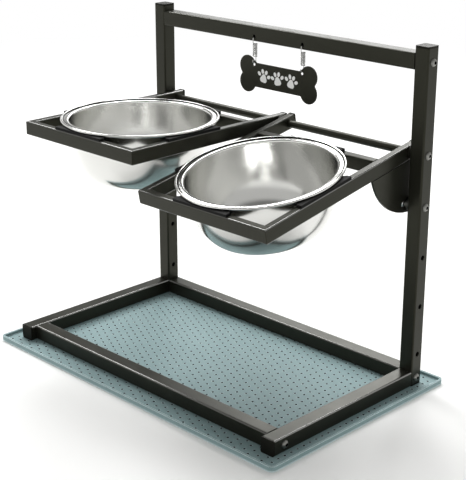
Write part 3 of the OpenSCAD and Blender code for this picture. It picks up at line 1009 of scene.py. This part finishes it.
@dataclass
class DimpledMat:
    """Soft mat with a low lip and columns of small dimples, each second one shifted by half a step.

    A dimple goes down in steps, each by a share of its depth and to a share of the width before.
    """

    pitch: float = 10.75 * MM
    dimple_r: float = 1.5 * MM
    dimple_depth: float = 1.7 * MM
    dimple_steps: tuple[Pair, ...] = ((0.35, 0.92), (0.65, 0.70))
    dark_below: float = 0.02 * MM
    dark_above: float = MM
    lip_w: float = 3.0 * MM
    corner_r: float = 7.0 * MM
    corner_segments: int = 8
    edge_margin: float = 1.0 * MM
    weld: float = 0.01 * MM
    crease: float = 50.0
    low: Vector = field(init=False)
    high: Vector = field(init=False)
    floor_z: float = field(init=False)

    def __post_init__(self) -> None:
        """Take the mat's box from its CAD solid, and its floor from the feet that stand on it."""
        self.low, self.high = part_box("mat")
        self.floor_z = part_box("upright_feet")[0].z

    def _tray(self) -> Object:
        """Model the mat's body with its lip, and leave its floor open.

        Returns:
            The open tray.
        """
        middle = (self.low + self.high) / 2
        tray = plane(1.0, (middle.x, middle.y, self.low.z))
        tray.scale = (self.high.x - self.low.x, self.high.y - self.low.y, 1)
        apply_place(tray)
        edit(tray)
        bpy.ops.mesh.bevel(offset=self.corner_r, segments=self.corner_segments, affect="VERTICES")
        extrude((0, 0, self.high.z - self.low.z))
        bpy.ops.mesh.inset(thickness=self.lip_w)
        extrude((0, 0, self.floor_z - self.high.z))
        bpy.ops.mesh.delete(type="ONLY_FACE")
        close_edit()
        return tray

    def _cell(self) -> Object:
        """Model one square of the floor with its dimple.

        Returns:
            The cell, with its corner at the origin.
        """
        half = self.pitch / 2
        centre = (half, half, self.floor_z)
        cell = plane(self.pitch, centre)
        edit(cell)
        bpy.ops.mesh.subdivide(number_cuts=1)
        bpy.ops.mesh.inset(thickness=half - self.dimple_r)
        bpy.ops.transform.tosphere(value=1.0)
        for sink, shrink in self.dimple_steps:
            extrude((0, 0, -sink * self.dimple_depth))
            bpy.ops.transform.resize(value=(shrink, shrink, 1), center_override=centre)
        close_edit()
        apply_place(cell)
        return cell

    def _field(self) -> Object:
        """Repeat the cell over the floor, each second column shifted by half a step.

        Returns:
            The dimpled field.
        """
        wide = self.high.x - self.low.x - 2 * (self.lip_w + self.edge_margin)
        deep = self.high.y - self.low.y - 2 * (self.lip_w + self.edge_margin)
        columns = 2 * int(wide / self.pitch / 2)
        rows = int(deep / self.pitch)
        start = Vector((-columns * self.pitch / 2, -rows * self.pitch / 2, 0))
        even = self._cell()
        odd = twin(even)
        for cells, count, shift in (
            (even, rows, Vector((0, 0, 0))),
            (odd, rows - 1, Vector((self.pitch, self.pitch / 2, 0))),
        ):
            self._repeat(cells, 1, count, self.pitch)
            self._repeat(cells, 0, columns // 2, 2 * self.pitch)
            bake_place(cells, Matrix.Translation(start + shift))
        floor = join("mat_floor", [even, odd, *self._end_strips(start, columns, rows)])
        tidy_mesh(floor, self.weld)
        return floor

    @staticmethod
    def _repeat(obj: Object, axis: int, count: int, step: float) -> None:
        """Repeat a mesh along X or Y.

        Args:
            obj: The mesh.
            axis: 0 for X, 1 for Y.
            count: How many in all.
            step: Distance from one to the next.
        """
        offset = [0.0, 0.0, 0.0]
        offset[axis] = step
        apply_modifier(
            obj, "ARRAY", count=count, use_relative_offset=False, use_constant_offset=True,
            constant_offset_displace=offset,
        )

    def _end_strips(self, start: Vector, columns: int, rows: int) -> list[Object]:
        """Fill the half squares at both ends of the shifted columns.

        Args:
            start: The field's low corner.
            columns: Number of columns.
            rows: Number of rows.

        Returns:
            One strip of half squares for each end.
        """
        strips = []
        quarter = self.pitch / 4
        for end_y in (0.0, (rows - 0.5) * self.pitch):
            strip = plane(2 * quarter, (quarter, quarter, self.floor_z))
            apply_place(strip)
            self._repeat(strip, 0, 2, 2 * quarter)
            self._repeat(strip, 0, columns // 2, 2 * self.pitch)
            bake_place(strip, Matrix.Translation(start + Vector((self.pitch, end_y, 0))))
            strips.append(strip)
        return strips

    @staticmethod
    def _close_floor(mat: Object) -> None:
        """Fill the gap between the tray's rim and the dimpled field.

        Args:
            mat: The joined tray and field.
        """
        edit(mat, "DESELECT")
        bpy.ops.mesh.select_mode(type="EDGE")
        bpy.ops.mesh.select_non_manifold(
            extend=False, use_wire=False, use_boundary=True, use_multi_face=False,
            use_non_contiguous=False, use_verts=False,
        )
        bpy.ops.mesh.fill(use_beauty=True)
        bpy.ops.mesh.select_mode(type="VERT")
        close_edit()
        tidy_mesh(mat)

    def _darken_dimples(self, mat: Object) -> None:
        """Give the faces down in the dimples, but not the underside, the second material, which paints shade into
        them.

        Args:
            mat: The closed mat, with both finishes.
        """
        reach_x = self.high.x - self.lip_w - self.edge_margin
        reach_y = self.high.y - self.lip_w - self.edge_margin
        for face in mat.data.polygons:
            inside = abs(face.center.x) < reach_x and abs(face.center.y) < reach_y
            if inside and self.dark_above < face.center.z < self.floor_z - self.dark_below:
                face.material_index = 1

    def build(self, silicone: Material, dark: Material) -> Object:
        """Join the tray and the dimpled floor, and dress them.

        Args:
            silicone: Finish of the mat.
            dark: Painted shade down in the dimples.

        Returns:
            The finished mat.
        """
        mat = join("dimpled_mat", [self._tray(), self._field()])
        self._close_floor(mat)
        mat.data.materials.append(silicone)
        mat.data.materials.append(dark)
        self._darken_dimples(mat)
        smooth(mat, self.crease)
        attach(mat, "stand")
        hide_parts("mat")
        return mat


@dataclass
class PawTrail:
    """Row of plain paw prints in raised white ink on the sign's front."""

    pad_r: float = 5.6 * MM
    lobes: int = 3
    lobe: float = 0.13
    toe_r: float = 2.35 * MM
    toe_long: float = 1.35
    toe_reach: float = 9.8 * MM
    toe_angles: tuple[float, ...] = (150.0, 109.0, 71.0, 30.0)
    drop: float = 3.4 * MM
    pitch: float = 24 * MM
    tilts: tuple[float, ...] = (10.0, -10.0, 10.0)
    ink_t: float = 0.12 * MM
    outline_points: int = 36
    crease: float = 40.0

    def build(self, ink: Material) -> Object:
        """Draw one print, repeat it along the sign and dress the row.

        Args:
            ink: Finish of the prints.

        Returns:
            The finished row.
        """
        first = self._print()
        low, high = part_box("sign_plate")
        middle = (low + high) / 2
        prints = []
        for number, tilt in enumerate(self.tilts):
            paw = twin(first)
            along = (number - (len(self.tilts) - 1) / 2) * self.pitch
            spot = Matrix.Translation((middle.x + along, low.y, middle.z))
            bake_place(paw, spot @ Matrix.Rotation(math.radians(tilt), 4, "Y"))
            prints.append(paw)
        bpy.data.objects.remove(first)
        row = join("paw_trail", prints)
        tidy_mesh(row)
        smooth(row, self.crease)
        row.data.materials.append(ink)
        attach(row, "sign")
        return row

    def _print(self) -> Object:
        """Draw one print: a lobed pad and its toes.

        Returns:
            The print, about its middle.
        """
        centre = Vector((0, 0, -self.drop))
        pieces = [self._blob("paw_pad", self.pad_r, 1.0, 0.0, centre, self.lobe)]
        for degrees in self.toe_angles:
            turn = math.radians(degrees)
            place = centre + Vector((math.cos(turn), 0, math.sin(turn))) * self.toe_reach
            pieces.append(self._blob("paw_toe", self.toe_r, self.toe_long, turn, place, 0.0))
        return join("paw_print", pieces)

    def _blob(
        self, name: str, radius: float, long: float, turn: float, place: Vector, lobe: float
    ) -> Object:
        """Draw one pad of the print as an oval or a lobed disc, and give it thickness.

        Args:
            name: Name of the piece.
            radius: Half of its width.
            long: Its length over its width.
            turn: Way that its length points, from the X axis up.
            place: Its centre, about the middle of the print.
            lobe: How far its lobes stand out, as a share of the radius.

        Returns:
            The piece.
        """
        points = []
        for i in range(self.outline_points):
            t = FULL_TURN * i / self.outline_points
            reach = radius * (1 + lobe * math.cos(self.lobes * (t - QUARTER_TURN)))
            along, across = reach * long * math.cos(t - turn), reach * math.sin(t - turn)
            x = place.x + along * math.cos(turn) - across * math.sin(turn)
            z = place.z + along * math.sin(turn) + across * math.cos(turn)
            points.append((x, 0.0, z))
        blob = polyline(name, points)
        edit(blob)
        bpy.ops.mesh.edge_face_add()
        extrude((0, -self.ink_t, 0))
        bpy.ops.mesh.inset(thickness=2 * self.ink_t)
        close_edit()
        return blob


WARM_GLOSS: Colour = (1.0, 1.0, 0.75)
POWDER_COAT = Finish(
    name="black_powder_coat", tone=(0.0092, 0.0094, 0.0070), tone_worn=(0.0125, 0.0127, 0.0098),
    roughness=(0.28, 0.38), grain_size=0.8 * MM, grain_depth=0.010 * MM,
    edge_radius=0.6 * MM, specular=0.27, gloss_tint=WARM_GLOSS,
)
RAIL_COAT = replace(POWDER_COAT, name="black_rail_coat", round_ior=1.8)
HANDLED_COAT = replace(POWDER_COAT, name="black_handled_coat", round_ior=2.8)
MOULDED_PLASTIC = Finish(
    name="black_moulded_plastic", tone=(0.0075, 0.0072, 0.0060), tone_worn=(0.0110, 0.0106, 0.0088),
    roughness=(0.38, 0.48), grain_size=0.5 * MM, grain_depth=0.012 * MM,
    edge_radius=0.7 * MM, specular=0.11, gloss_tint=WARM_GLOSS,
)
# The crevice setting paints shade into the sockets and round the heads.
DARK_ZINC = Finish(
    name="dark_zinc_plate", tone=(0.23, 0.23, 0.215), tone_worn=(0.31, 0.31, 0.29),
    roughness=(0.36, 0.48), grain_size=0.4 * MM, grain_depth=0.004 * MM, metallic=1.0,
    edge_radius=0.3 * MM, blotch_size=5 * MM, crevice=4 * MM,
)
BRIGHT_ZINC = Finish(
    name="bright_zinc_plate", tone=(0.52, 0.52, 0.51), tone_worn=(0.62, 0.62, 0.60),
    roughness=(0.20, 0.32), grain_size=0.4 * MM, grain_depth=0.004 * MM, metallic=1.0,
    edge_radius=0.2 * MM, blotch_size=6 * MM,
)
NICKEL_WIRE = Finish(
    name="nickel_wire", tone=(0.44, 0.44, 0.425), tone_worn=(0.52, 0.52, 0.50),
    roughness=(0.16, 0.24), grain_size=0.3 * MM, grain_depth=0.002 * MM, metallic=1.0,
    edge_radius=0.1 * MM, blotch_size=4 * MM,
)
PAD_RUBBER = Finish(
    name="black_pad_rubber", tone=(0.005, 0.005, 0.005), tone_worn=(0.008, 0.008, 0.0075),
    roughness=(0.55, 0.68), grain_size=0.6 * MM, grain_depth=0.015 * MM,
    edge_radius=0.5 * MM, specular=0.12,
)
# The mat's edge tone paints highlights on its lip, and its foot paints floor light on the bottom of its side.
SILICONE = Finish(
    name="mat_silicone", tone=(0.240, 0.342, 0.352), tone_worn=(0.266, 0.370, 0.380),
    roughness=(0.48, 0.58), grain_size=0.7 * MM, grain_depth=0.012 * MM, edge_radius=1.3 * MM,
    blotch_size=80 * MM, specular=0.12, edge_highlight_tone=(0.80, 0.93, 0.95), foot=2.2 * MM,
)
# The dimples' faces are painted near black as the shade down in them.
DIMPLE_SHADE = Finish(
    name="mat_dimple_shade", tone=(0.010, 0.016, 0.018), tone_worn=(0.014, 0.022, 0.024),
    roughness=(0.5, 0.6), grain_size=0.7 * MM, grain_depth=0.005 * MM, edge_radius=0.1 * MM,
)
WHITE_INK = Finish(
    name="white_ink", tone=(0.93, 0.93, 0.92), tone_worn=(0.96, 0.96, 0.95),
    roughness=(0.45, 0.55), grain_size=0.5 * MM, grain_depth=0.004 * MM,
    edge_radius=0.05 * MM, blotch_size=6 * MM,
)


@dataclass
class Coats:
    """Puts a finish on every CAD node that stays in view."""

    effects: Effects
    by_slot: dict[str, Material] = field(init=False)
    by_node: dict[str, Material] = field(init=False)

    def __post_init__(self) -> None:
        """Build a material for each slot whose nodes stay, and for the nodes that differ from their slot."""
        finishes = {
            Slot.BLACK_STEEL: POWDER_COAT,
            Slot.BLACK_PLASTIC: MOULDED_PLASTIC,
            Slot.DARK_ZINC: DARK_ZINC,
            Slot.BRIGHT_ZINC: BRIGHT_ZINC,
            Slot.PAD_RUBBER: PAD_RUBBER,
        }
        self.by_slot = {slot.value: finish.build(self.effects) for slot, finish in finishes.items()}
        rail = RAIL_COAT.build(self.effects)
        handled = HANDLED_COAT.build(self.effects)
        wire = NICKEL_WIRE.build(self.effects)
        self.by_node = {"front_rail": rail, "rear_rail": rail, "sign_hooks": wire}
        pieces = {"inner_arm": rail, "front_bar": rail, "outer_arm": handled, "side_rail": handled}
        for side in Side:
            self.by_node.update({f"{side.value}_{piece}": coat for piece, coat in pieces.items()})

    def dress(self) -> int:
        """Give each CAD node its own finish, or that of its slot.

        Returns:
            The number of nodes dressed. The others are replaced by pieces of this file.
        """
        dressed = 0
        for part in frame["record"]["subparts"]:
            material = self.by_node.get(part["node"]) or self.by_slot.get(part["material_slot"])
            if material is None:
                continue
            for slot in frame["nodes"][part["node"]].material_slots:
                slot.material = material
            dressed += 1
        return dressed


def main() -> None:
    """Build the stage and the pieces in order, and log how many nodes and faces there are."""
    logging.basicConfig(level=logging.INFO, format="%(name)s: %(message)s")
    Studio().build()
    effects = Effects()
    LOG.info("%d CAD nodes dressed", Coats(effects).dress())
    pieces = [SpunBowl(FrameSeat(side)).build(effects, SpunSteel()) for side in Side]
    pieces.append(DimpledMat().build(SILICONE.build(effects), DIMPLE_SHADE.build(effects)))
    pieces.append(PawTrail().build(WHITE_INK.build(effects)))
    for piece in pieces:
        LOG.info("%s: %d faces", piece.name, len(piece.data.polygons))


if __name__ == "__main__":
    main()
